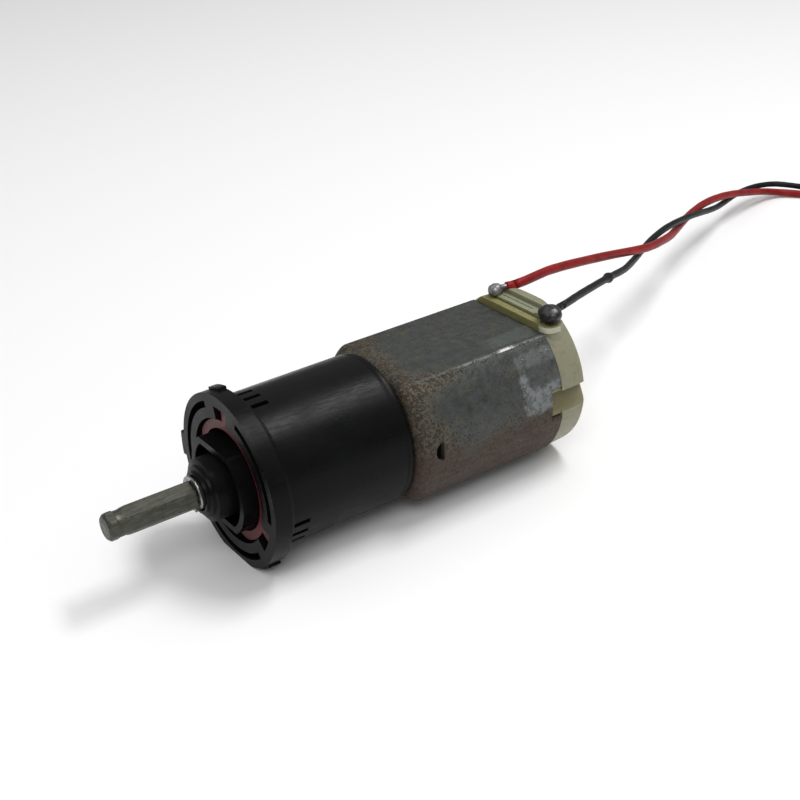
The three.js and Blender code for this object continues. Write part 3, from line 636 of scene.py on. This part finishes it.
# The same routes as the solid leads follow, in millimetres in the part's frame.
RED_ROUTE = [
    (38.4, 4.9, 26), (41.5, 5.2, 25.9), (48, 7.3, 25.1), (58, 10.3, 23), (70, 14.5, 19.8),
    (82.5, 18.5, 16.5), (90.5, 22.6, 14.5), (98, 27.6, 12.2), (105.6, 33, 10.5), (113.5, 37.8, 9.6),
    (121.3, 41.5, 9), (128.6, 44.2, 8), (136.3, 46.6, 6.4), (142.4, 48.2, 4.8), (147.8, 49.5, 3.3),
    (151.9, 50, 2.2), (155, 49.6, 1.4), (157.5, 48, 1), (161, 43, 0.9), (166, 37.7, 0.9),
    (172.5, 35, 0.9), (179.5, 35.5, 0.9),
]
BLACK_ROUTE = [
    (38.4, -7, 26), (41, -5.6, 25.4), (45.5, -3, 24.4), (52.5, 0.9, 22.8), (60.5, 5.3, 20.9),
    (68.5, 9.9, 18.7), (81.5, 19.7, 15.1), (89.5, 24.5, 14.5), (97.8, 28.6, 13.7), (106.2, 32.4, 12.2),
    (114.5, 36.2, 10.2), (121.7, 40, 8), (128.4, 43.5, 6.2), (135.6, 47.3, 4.9), (141.7, 49.9, 4.3),
    (147.2, 51.3, 3.8), (152, 51.8, 3.3), (155.8, 50.9, 2.9), (159.2, 48.5, 2.3), (164.2, 45, 1.2),
    (170.5, 41.6, 0.8), (177, 40, 0.8), (184, 41, 0.8),
]
RED_DIAMETER, BLACK_DIAMETER = 1.6, 1.3


def smooth_path(route, spacing=0.6):
    """Points close together on the centripetal Catmull-Rom curve through the route."""
    points = [Vector(place) for place in route]
    points = [2 * points[0] - points[1]] + points + [2 * points[-1] - points[-2]]
    path = []
    for a, b, c, d in zip(points, points[1:], points[2:], points[3:]):
        times = [0.0]
        for first, second in ((a, b), (b, c), (c, d)):
            times.append(times[-1] + math.sqrt((second - first).length))
        steps = max(2, int((c - b).length / spacing))
        for i in range(steps):
            t = times[1] + (times[2] - times[1]) * i / steps
            low = [a, b, c, d]
            for level in (1, 2, 3):
                low = [
                    low[k] + (low[k + 1] - low[k]) * ((t - times[k]) / (times[k + level] - times[k]))
                    for k in range(4 - level)
                ]
            path.append(low[0])
    path.append(points[-2])
    return [place * MM for place in path]


def hose(name, path, radius_at, sides=28):
    """A closed tube along a path; radius_at gives the radius in metres at each point and turn."""
    rings = []
    across = Vector((0, 0, 1))
    turns = [2 * math.pi * k / sides for k in range(sides)]
    for i, place in enumerate(path):
        along = (path[min(i + 1, len(path) - 1)] - path[max(i - 1, 0)]).normalized()
        across = (across - along * across.dot(along)).normalized()
        other = along.cross(across)
        rings.append([
            place + (across * math.cos(turn) + other * math.sin(turn)) * radius_at(i, turn)
            for turn in turns
        ])
    return loft(name, rings)


def lead(name, route, diameter, slot_name, bumps, nick=None):
    """An insulated lead, slightly uneven, with a swollen nick if its place is given."""
    path = smooth_path(route)
    seed = Vector((route[0][1], 3.1, 0.7))
    bumps_per_metre = 330
    end_share = 0.86
    nick_height, nick_reach = 0.5, 0.9

    def radius_at(i, _turn):
        rounded = end_share if i == len(path) - 1 else 1.0
        swelling = 0.0
        if nick:
            away = (path[i] / MM - Vector(nick)).length
            swelling = nick_height * math.exp(-((away / nick_reach) ** 2))
        uneven = bumps * noise.noise(path[i] * bumps_per_metre + seed)
        return diameter / 2 * MM * rounded * (1 + swelling + uneven)

    made = hose(name, path, radius_at)
    finish_piece(made, name, slot_name, bevel=0)
    return made, path


def tip_of(path, name, radius, replaced):
    """Stripped and tinned end of a lead, with the lay of its strands."""
    length, gap, steps = 6, 0.3, 40
    strands, twist = 3.5, 0.16
    along = (path[-1] - path[-2]).normalized() * MM
    spots = [path[-1] + along * (gap + length * i / steps) for i in range(steps + 1)]

    def radius_at(i, turn):
        strand = 0.88 + 0.1 * abs(math.cos(strands * turn + i * twist))
        return radius * MM * strand * (0.8 if i in (0, steps) else 1)

    made = hose(name, spots, radius_at)
    return finish_piece(made, name, "tin_solder", bevel=0, replaces=[replaced])


NICK = (60, 5.1, 21)
red, red_path = lead("red_wire", RED_ROUTE, RED_DIAMETER, "red_insulation", 0.03)
black, black_path = lead("black_wire", BLACK_ROUTE, BLACK_DIAMETER, "black_insulation", 0.05, NICK)
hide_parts("red_lead")
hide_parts("black_lead")
red_tip = tip_of(red_path, "red_wire_tip", 0.45, "red_lead_tip")
black_tip = tip_of(black_path, "black_wire_tip", 0.4, "black_lead_tip")


# ---------- gearbox casing ----------

BARREL_RADIUS = 12.2
BARREL_BORE = 10.9
BARREL_FRONT = -21.8
SNAP_ANGLES = (90, -30, 210)


def gear_housing():
    rear = -0.3
    body = turned([
        (BARREL_FRONT, BARREL_BORE),
        (BARREL_FRONT, BARREL_RADIUS),
        (rear - 1.55, BARREL_RADIUS),
        (rear - 1.4, BARREL_RADIUS - 0.06),
        (rear - 1.2, BARREL_RADIUS - 0.06),
        (rear - 1.05, BARREL_RADIUS),
        (rear - 0.25, BARREL_RADIUS),
        (rear, BARREL_RADIUS - 0.25),
        (rear, BARREL_BORE),
    ], segments=192)
    slot_pitch, slot_span, slot_length = 11, 4, 2.9
    slots = []
    for middle in SNAP_ANGLES:
        for place in (-slot_pitch, 0, slot_pitch):
            outline = arc_band(BARREL_BORE - 1, BARREL_RADIUS + 1, middle + place, slot_span)
            slots.append(prism(outline, BARREL_FRONT - 1, BARREL_FRONT + slot_length))
    cut(body, *slots)
    return finish_piece(body, "barrel", "black_plastic", bevel=0.1, replaces=["gear_housing"])


FLANGE_FRONT = -25.8
FLANGE_REAR = -23.0
FLANGE_RADIUS = 13.85
COVER_FLOOR = -23.5
COVER_RADIUS = 12.45
RIM_INNER = 12.55
RING_INNER = 9.9
RING_OUTER = 11.5
HUB_FRONT = -27.65
HUB_RADIUS = 7.8
HUB_FLAT = 6.4
HUB_WALL = 1.05
NOSE_FRONT = -31.1
NOSE_REAR = -21.9
NOSE_BORE = 2.8
BUSH_BORE = 3.85
SKIRT_REAR = -18.4
TABLE_HEIGHT = -13.2
# Middle and span of each, in degrees.
COVER_SLOTS = ((30, 76), (150, 76), (270, 76))
COVER_WINDOWS = ((89.5, 18), (-30, 20), (210, 18))
# Middle and span in degrees, reach from the axis, and stations of the front and the rear.
RIM_LUGS = (
    (107, 14, 14.25, -24.3, -22.95),
    (179, 16, 14.9, -25.75, -24.2),
    (203, 7, 14.9, -25.75, -24.2),
    (300, 14, 14.3, -25, -22.95),
)


def front_cover():
    body = turned([
        (COVER_FLOOR, 0), (COVER_FLOOR, COVER_RADIUS),
        (BARREL_FRONT - 0.05, COVER_RADIUS), (BARREL_FRONT - 0.05, 0),
    ], segments=192)
    join(body, tube(FLANGE_FRONT, FLANGE_REAR, RING_INNER, FLANGE_RADIUS, segments=192))
    openings = [arc_band(RING_OUTER, RIM_INNER, *place) for place in COVER_SLOTS]
    openings += [arc_band(RING_INNER - 1, RIM_INNER - 0.5, *place) for place in COVER_WINDOWS]
    cut(body, *[prism(outline, FLANGE_FRONT - 1, COVER_FLOOR + 0.01) for outline in openings])
    hub = prism(flat_sided(HUB_RADIUS, HUB_FLAT, 0.8), HUB_FRONT, COVER_FLOOR + 0.2)
    hollow = flat_sided(HUB_RADIUS - HUB_WALL, HUB_FLAT - HUB_WALL, 0.6)
    cut(hub, prism(hollow, HUB_FRONT - 0.85, COVER_FLOOR + 0.01))
    nose = turned([
        (NOSE_REAR, 0), (NOSE_FRONT, 0), (NOSE_FRONT, 3.25), (NOSE_FRONT + 0.5, 3.4),
        (NOSE_FRONT + 0.6, 4.0), (NOSE_FRONT + 1.05, 4.1), (NOSE_FRONT + 1.2, 4.9), (NOSE_REAR, 5.3),
    ], segments=128)
    lugs = [
        prism(arc_band(FLANGE_RADIUS - 0.8, reach, middle, span), front, rear)
        for middle, span, reach, front, rear in RIM_LUGS
    ]
    skirt = tube(NOSE_REAR, SKIRT_REAR, 9.5, 10.6)
    join(body, hub, nose, skirt, *lugs)
    bush_hole = rod(NOSE_FRONT + 1.4, NOSE_REAR + 1.9, BUSH_BORE)
    nose_hole = rod(NOSE_FRONT - 0.9, NOSE_FRONT + 2.1, NOSE_BORE)
    under_table = box(FLANGE_FRONT - 1, FLANGE_REAR + 3, -WIDE, WIDE, -WIDE, TABLE_HEIGHT)
    cut(body, bush_hole, nose_hole, under_table)
    return finish_piece(body, "cover", "black_plastic", bevel=0.13, replaces=["front_cover"])


def retaining_ring():
    """Split ring with tapered ends and a tab in each of two windows."""
    front, rear = -25.2, -23.8
    inner, outer = 8.15, 9.6
    start, end, steps = -88, 162, 110
    end_width, taper_steps = 0.35, 7
    tab_reach, tab_span = 11.45, 9

    def width_at(i):
        near_end = min(i, steps - i) / taper_steps
        return min(1.0, end_width + (1 - end_width) * near_end)

    outside = []
    inside = []
    for i in range(steps + 1):
        angle = start + (end - start) * i / steps
        outside.append(polar(angle, inner + (outer - inner) * width_at(i)))
        inside.append(polar(angle, inner))
    body = prism(outside + inside[::-1], front, rear)
    tabs = [arc_band(outer - 0.5, tab_reach, middle, tab_span) for middle in (89.5, -28.5)]
    join(body, *[prism(tab, front, rear) for tab in tabs])
    return finish_piece(body, "lock_ring", "red_plastic", bevel=0.16, replaces=["retaining_ring"])


gear_housing()
front_cover()
retaining_ring()

# ---------- output shaft ----------

SHAFT_TIP = -45.8
SHAFT_REAR = -15
HEX_START = -31.95
HEX_TURN = 40.5
HEX_CORNER = 4 / math.sqrt(3)
JOURNAL = 2.45
NECK = 1.85
NECK_END = -31.4


def output_shaft():
    bar = prism([polar(HEX_TURN + 60 * i, HEX_CORNER) for i in range(6)], SHAFT_TIP, HEX_START)
    far = HEX_CORNER + 0.1
    envelope = turned([
        (SHAFT_TIP, 0), (SHAFT_TIP, 1.75), (SHAFT_TIP + 0.5, 2.2), (SHAFT_TIP + 1.45, 2.25),
        (SHAFT_TIP + 1.62, 1.98), (SHAFT_TIP + 2.6, 1.96), (SHAFT_TIP + 3.3, 2.2), (SHAFT_TIP + 3.9, far),
        (HEX_START + 0.1, far), (HEX_START + 0.1, 0),
    ], segments=96)
    keep_common(bar, envelope)
    journal = turned([
        (HEX_START - 0.1, 0), (HEX_START - 0.1, NECK), (NECK_END, NECK), (NECK_END + 0.15, JOURNAL),
        (SHAFT_REAR, JOURNAL), (SHAFT_REAR, 0),
    ], segments=96)
    join(bar, journal)
    return finish_piece(
        bar, "hex_shaft", "machined_steel", body="output", bevel=0.07, replaces=["output_shaft"],
    )


def shaft_clip():
    inner, outer = 2.0, 2.9
    middle, span = 128, 305
    front, rear = -31.8, -31.45
    body = prism(arc_band(inner, outer, middle, span), front, rear)
    return finish_piece(body, "clip", "bright_steel", body="output", bevel=0.08, replaces=["shaft_clip"])


output_shaft()
shaft_clip()

# ---------- motor can ----------

CAN_WALL = 0.9
CAN_SHOULDER = 2.1
# At the shoulder the flats draw in a little less than the round sides.
FLAT_SHARE = 0.86
CAN_BOSS_RADIUS = 3.9
SCREW_PLACE = 8


def can_shell(inset, front):
    """The can's outside, or its inside when inset; the front edge is rounded."""
    shoulder = CAN_SHOULDER - inset * 0.5
    shoulder_steps, side_steps = 10, 8
    rings = []
    for i in range(shoulder_steps + 1):
        turn = math.pi / 2 * i / shoulder_steps
        depth = shoulder * (1 - math.cos(turn))
        shrink = inset + shoulder * (1 - math.sin(turn))
        corner = max(0.5, CAN_FOLD - shrink * 0.5)
        outline = flat_sided(CAN_RADIUS - shrink, CAN_FLAT - shrink * FLAT_SHARE, corner)
        rings.append([point(front + depth, u, v) for u, v in outline])
    rear = CAN_END + (1 if inset else 0)
    outline = flat_sided(CAN_RADIUS - inset, CAN_FLAT - inset, CAN_FOLD - inset * 0.5)
    for k in range(1, side_steps + 1):
        station = front + shoulder + (rear - front - shoulder) * k / side_steps
        rings.append([point(station, u, v) for u, v in outline])
    return loft("tool", rings)


def motor_can():
    body = can_shell(0.0, 0.0)
    boss = turned([
        (-CAN_BOSS_LENGTH, 0), (-CAN_BOSS_LENGTH, CAN_BOSS_RADIUS - 0.3),
        (-CAN_BOSS_LENGTH + 0.3, CAN_BOSS_RADIUS), (0.3, CAN_BOSS_RADIUS), (0.3, 0),
    ], segments=96)
    join(body, boss)
    bush_radius, shaft_hole, screw_hole = 3.2, 1.6, 1.4
    notch_span, notch_depth = 23, 2.2
    tools = [can_shell(CAN_WALL, CAN_WALL), rod(-CAN_WALL, 2, bush_radius), rod(-2, 0, shaft_hole)]
    for sign, angle in ((1, 0), (-1, 180)):
        notch = arc_band(CAN_RADIUS - 2, CAN_RADIUS + 1, angle, notch_span)
        tools.append(rod(-1, 2, screw_hole, centre=(sign * SCREW_PLACE, 0)))
        tools.append(moon_hole(sign))
        tools.append(prism(notch, CAN_END - notch_depth, CAN_END + 2))
    cut(body, *tools)
    # The can's finish: stains and rust, with painted highlights on the near fold line and the front corner.
    worn = zinc_steel("zinc_steel_worn")
    return finish_piece(body, "can", "zinc_steel", bevel=0.12, replaces=["motor_can"], material=worn)


def moon_hole(sign):
    """Half-moon hole: straight towards the rear, round towards the front."""
    middle, half_width, depth = 4.1, 1.6, 1.5
    steps = 14
    near, far = CAN_RADIUS - 2, CAN_RADIUS + 1
    outline = [
        (middle - depth * math.sin(math.pi * i / steps), -half_width * math.cos(math.pi * i / steps))
        for i in range(steps + 1)
    ]
    rings = [[point(station, sign * reach, v) for station, v in outline] for reach in (near, far)]
    return loft("tool", rings)


motor_can()

# ---------- end cap ----------

CAP_BORE_FRONT = 24
CAP_PLUG_FRONT = 25
STRIP_REAR = CAP_FRONT + 1.3
STRIP_HEIGHT = CAN_FLAT + 1.15
CAP_UNDERSIDE = -12.5
# Station and side place of the seat that the near solder joint stands in.
SEAT = (30.0, 8.1)
LIP_CENTRE = (29.95, 8.1)


def post(station, u, low, high, radius):
    """An upright round post, standing across the motor axis."""
    ring = circle(radius)
    return loft("tool", [[point(station + a, u + b, v) for a, b in ring] for v in (low, high)])


def side_channel(side):
    """The wedge that is left open along one side of the cap."""
    shallow, deep, outside = 11.7, 13.3, 15
    upper, lower = 8, -9
    wedge = [polar(upper, shallow), polar(upper, outside), polar(lower, outside), polar(lower, deep)]
    return prism([(side * u, v) for u, v in wedge], CAP_PLUG_FRONT, CAP_END + 2)


def end_cap():
    body = turned([
        (CAP_FRONT, 0), (CAP_FRONT, 13.6), (CAP_FRONT + 1.4, 13.55), (CAP_END - 0.8, 13.4),
        (CAP_END - 0.35, 13.3), (CAP_END - 0.1, 13.08), (CAP_END, 12.75), (CAP_END, 4.85),
        (BOSS_END - 0.3, 4.75), (BOSS_END, 4.45), (BOSS_END, 0),
    ], segments=192)
    front, rear = CAP_FRONT - 1, CAP_END + 7
    cut(
        body,
        box(front, STRIP_REAR, -WIDE, WIDE, STRIP_HEIGHT, WIDE),
        box(front, STRIP_REAR, -WIDE, WIDE, -WIDE, -STRIP_HEIGHT),
        box(front, RIDGE_FRONT, -WIDE, WIDE, PAD_HEIGHT - 0.25, WIDE),
        box(front, rear, -WIDE, WIDE, RIDGE_HEIGHT, WIDE),
        box(front, rear, -WIDE, WIDE, -WIDE, CAP_UNDERSIDE),
    )
    pad_half = 6.1
    pad = box(STRIP_REAR + 0.16, RIDGE_FRONT + 0.3, -pad_half, pad_half, 9, PAD_HEIGHT)
    plug = prism(flat_sided(12.6, 9.3, 0.8), CAP_PLUG_FRONT, CAP_FRONT + 0.4)
    seat = post(*SEAT, 8.5, 11.45, radius=2.0)
    bump = post(29.8, 5.2, 10, PAD_HEIGHT + 0.25, radius=0.5)
    tab_half, tab_inner, tab_outer = 2.3, 11.2, 13.0
    tabs = [
        box(25.6, CAP_FRONT + 0.2, left, right, -tab_half, tab_half)
        for left, right in ((tab_inner, tab_outer), (-tab_outer, -tab_inner))
    ]
    join(body, pad, plug, seat, bump, *tabs)
    front_groove = box(STRIP_REAR - 0.08, STRIP_REAR + 0.18, -9.5, 9.5, STRIP_HEIGHT - 0.9, 14)
    pad_groove = box(30.35, 30.6, -4.6, 3.2, PAD_HEIGHT - 0.5, PAD_HEIGHT + 1)
    side_groove = box(29.9, 30.5, 5.75, 6.6, 9.5, 14)
    dish = post(*SEAT, 11.25, 13, radius=1.6)
    cut(body, dish, front_groove, pad_groove, side_groove, side_channel(1), side_channel(-1))
    hollow = prism(flat_sided(11.2, 8.6, 0.8), CAP_BORE_FRONT, 31.4)
    bush_seat, shaft_hole = 3.2, 1.5
    cut(body, hollow, rod(31, BOSS_END - 0.8, bush_seat), rod(31, BOSS_END + 1, shaft_hole))
    vent_radius, vent_place = 1.5, 7
    openings = [rod(30, CAP_END + 1, vent_radius, centre=(0, side * vent_place)) for side in (1, -1)]
    terminal_half = 0.9
    for middle in (-5.9, 8.0):
        openings.append(box(29.5, 30.3, middle - terminal_half, middle + terminal_half, 7, 13.5))
    cut(body, *openings)
    return finish_piece(body, "cap", "nylon", bevel=0.22, replaces=["end_cap"], segments=3)


def seat_lip():
    """Pale crescent of melted nylon that curls up in front of the near solder joint."""
    steps = 30
    start, span = 75, 120
    low, high = 10.4, 11.3

    def around_centre(reach, turn):
        return (LIP_CENTRE[0] + reach * math.cos(turn), LIP_CENTRE[1] + reach * math.sin(turn))

    outside, inside = [], []
    for i in range(steps + 1):
        turn = math.radians(start + span * i / steps)
        reach = 2.15 + 0.12 * math.sin(3 * turn)
        thickness = 0.1 + 0.4 * math.sin(math.pi * i / steps)
        outside.append(around_centre(reach, turn))
        inside.append(around_centre(reach - thickness, turn))
    outline = outside + inside[::-1]
    body = loft("tool", [[point(station, u, v) for station, u in outline] for v in (low, high)])
    cream = plain("cream_nylon", (0.36, 0.34, 0.26, 1), (0.5, 0.48, 0.38, 1), 0.4)
    return finish_piece(body, "cap_lip", "nylon", bevel=0.12, material=cream, segments=3)


end_cap()
seat_lip()

# ---------- solder, conductors and wire ends ----------


def blob(name, centre, radii, roughness, replaces, material=None):
    """A lump of solder: a ball pulled out of round."""
    builder = bmesh.new()
    bmesh.ops.create_icosphere(builder, subdivisions=5, radius=1)
    for vert in builder.verts:
        place = vert.co.copy()
        push = 1 + roughness * (noise.noise(place * 1.4 + Vector(centre)) + 0.5 * noise.noise(place * 3.1))
        spot = Vector((place.x * radii[0], place.y * radii[1], place.z * radii[2])) * push
        vert.co = (Vector(centre) + spot) * MM
    made = mesh_object(name, builder)
    return finish_piece(made, name, "tin_solder", bevel=0, replaces=replaces, material=material)


LEFT_BLOB = (35.4, 5.7, 25.75)
RIGHT_BLOB = (35.5, -8.1, 26.15)
blob("solder_far", LEFT_BLOB, (1.3, 1.3, 1.15), 0.06, ["solder_1"])
blob(
    "solder_near", RIGHT_BLOB, (1.85, 2.1, 1.4), 0.07, ["solder_2"],
    material=solder_metal("dull_solder", grey(0.035), grey(0.08)),
)


def bare_wire(name, route, radius):
    path = smooth_path(route, 0.25)
    bumps, bumps_per_metre = 0.12, 1500

    def radius_at(i, _turn):
        return radius * MM * (1 + bumps * noise.noise(path[i] * bumps_per_metre))

    made = hose(name, path, radius_at, sides=20)
    return finish_piece(made, name, "tin_solder", bevel=0)


bare_wire("red_conductor", [(35.6, 5.6, 26), (36.6, 5.2, 26.1), (37.6, 5.0, 26.05)], 0.5)
bare_wire("black_conductor", [(35.8, -8.0, 26.2), (36.8, -7.7, 26.2), (37.6, -7.4, 26.1)], 0.45)


def root(name, route, diameter, slot_name):
    """The last stretch of insulation, slightly narrower where it is cut."""
    path = smooth_path(route, 0.1)
    cut_share = 0.92

    def radius_at(i, _turn):
        return diameter / 2 * MM * (cut_share if i == 0 else 1.0)

    made = hose(name, path, radius_at)
    return finish_piece(made, name, slot_name, bevel=0)


root(
    "red_wire_root", [(37.1, 5.05, 26.1), (37.8, 4.95, 26.05), (38.6, 4.9, 25.98)],
    RED_DIAMETER, "red_insulation",
)
root(
    "black_wire_root", [(36.9, -7.65, 26.2), (37.7, -7.35, 26.1), (38.6, -6.93, 25.97)],
    BLACK_DIAMETER, "black_insulation",
)

# ---------- floor and light ----------

floor_mesh = bmesh.new()
bmesh.ops.create_grid(floor_mesh, x_segments=1, y_segments=1, size=3)
floor = mesh_object("floor", floor_mesh)
floor_shader = Shader("floor")
floor_shader.surface.inputs["Base Color"].default_value = (0.93, 0.93, 0.93, 1)
floor_shader.surface.inputs["Roughness"].default_value = 0.6
floor.data.materials.append(floor_shader.material)

world = bpy.data.worlds.new("world")
bpy.context.scene.world = world
world.use_nodes = True
sky = world.node_tree.nodes["Background"]
sky.inputs["Color"].default_value = (1, 1, 1, 1)
direction = world.node_tree.nodes.new("ShaderNodeTexCoord")
upward = world.node_tree.nodes.new("ShaderNodeSeparateXYZ")
brightness = world.node_tree.nodes.new("ShaderNodeMapRange")
# Dim towards the table and bright overhead: where the change starts and ends, and both strengths.
for index, number in enumerate((0.05, 0.75, 0.16, 0.62), start=1):
    brightness.inputs[index].default_value = number
world.node_tree.links.new(direction.outputs["Generated"], upward.inputs["Vector"])
world.node_tree.links.new(upward.outputs["Z"], brightness.inputs["Value"])
world.node_tree.links.new(brightness.outputs["Result"], sky.inputs["Strength"])


def lamp(name, place, aim, size, power):
    data = bpy.data.lights.new(name, "AREA")
    data.shape = "RECTANGLE"
    data.size, data.size_y = size
    data.energy = power
    made = bpy.data.objects.new(name, data)
    made.location = place
    made.rotation_mode = "QUATERNION"
    made.rotation_quaternion = (Vector(aim) - Vector(place)).to_track_quat("-Z", "Y")
    bpy.context.scene.collection.objects.link(made)


lamp("key", (-0.25, -0.35, 0.5), (0, 0, 0.01), (0.3, 0.3), 1.1)
lamp("overhead", (0.25, -0.07, 0.55), (0, 0, 0.01), (0.3, 0.1), 1.9)
bpy.context.scene.view_settings.view_transform = "Standard"
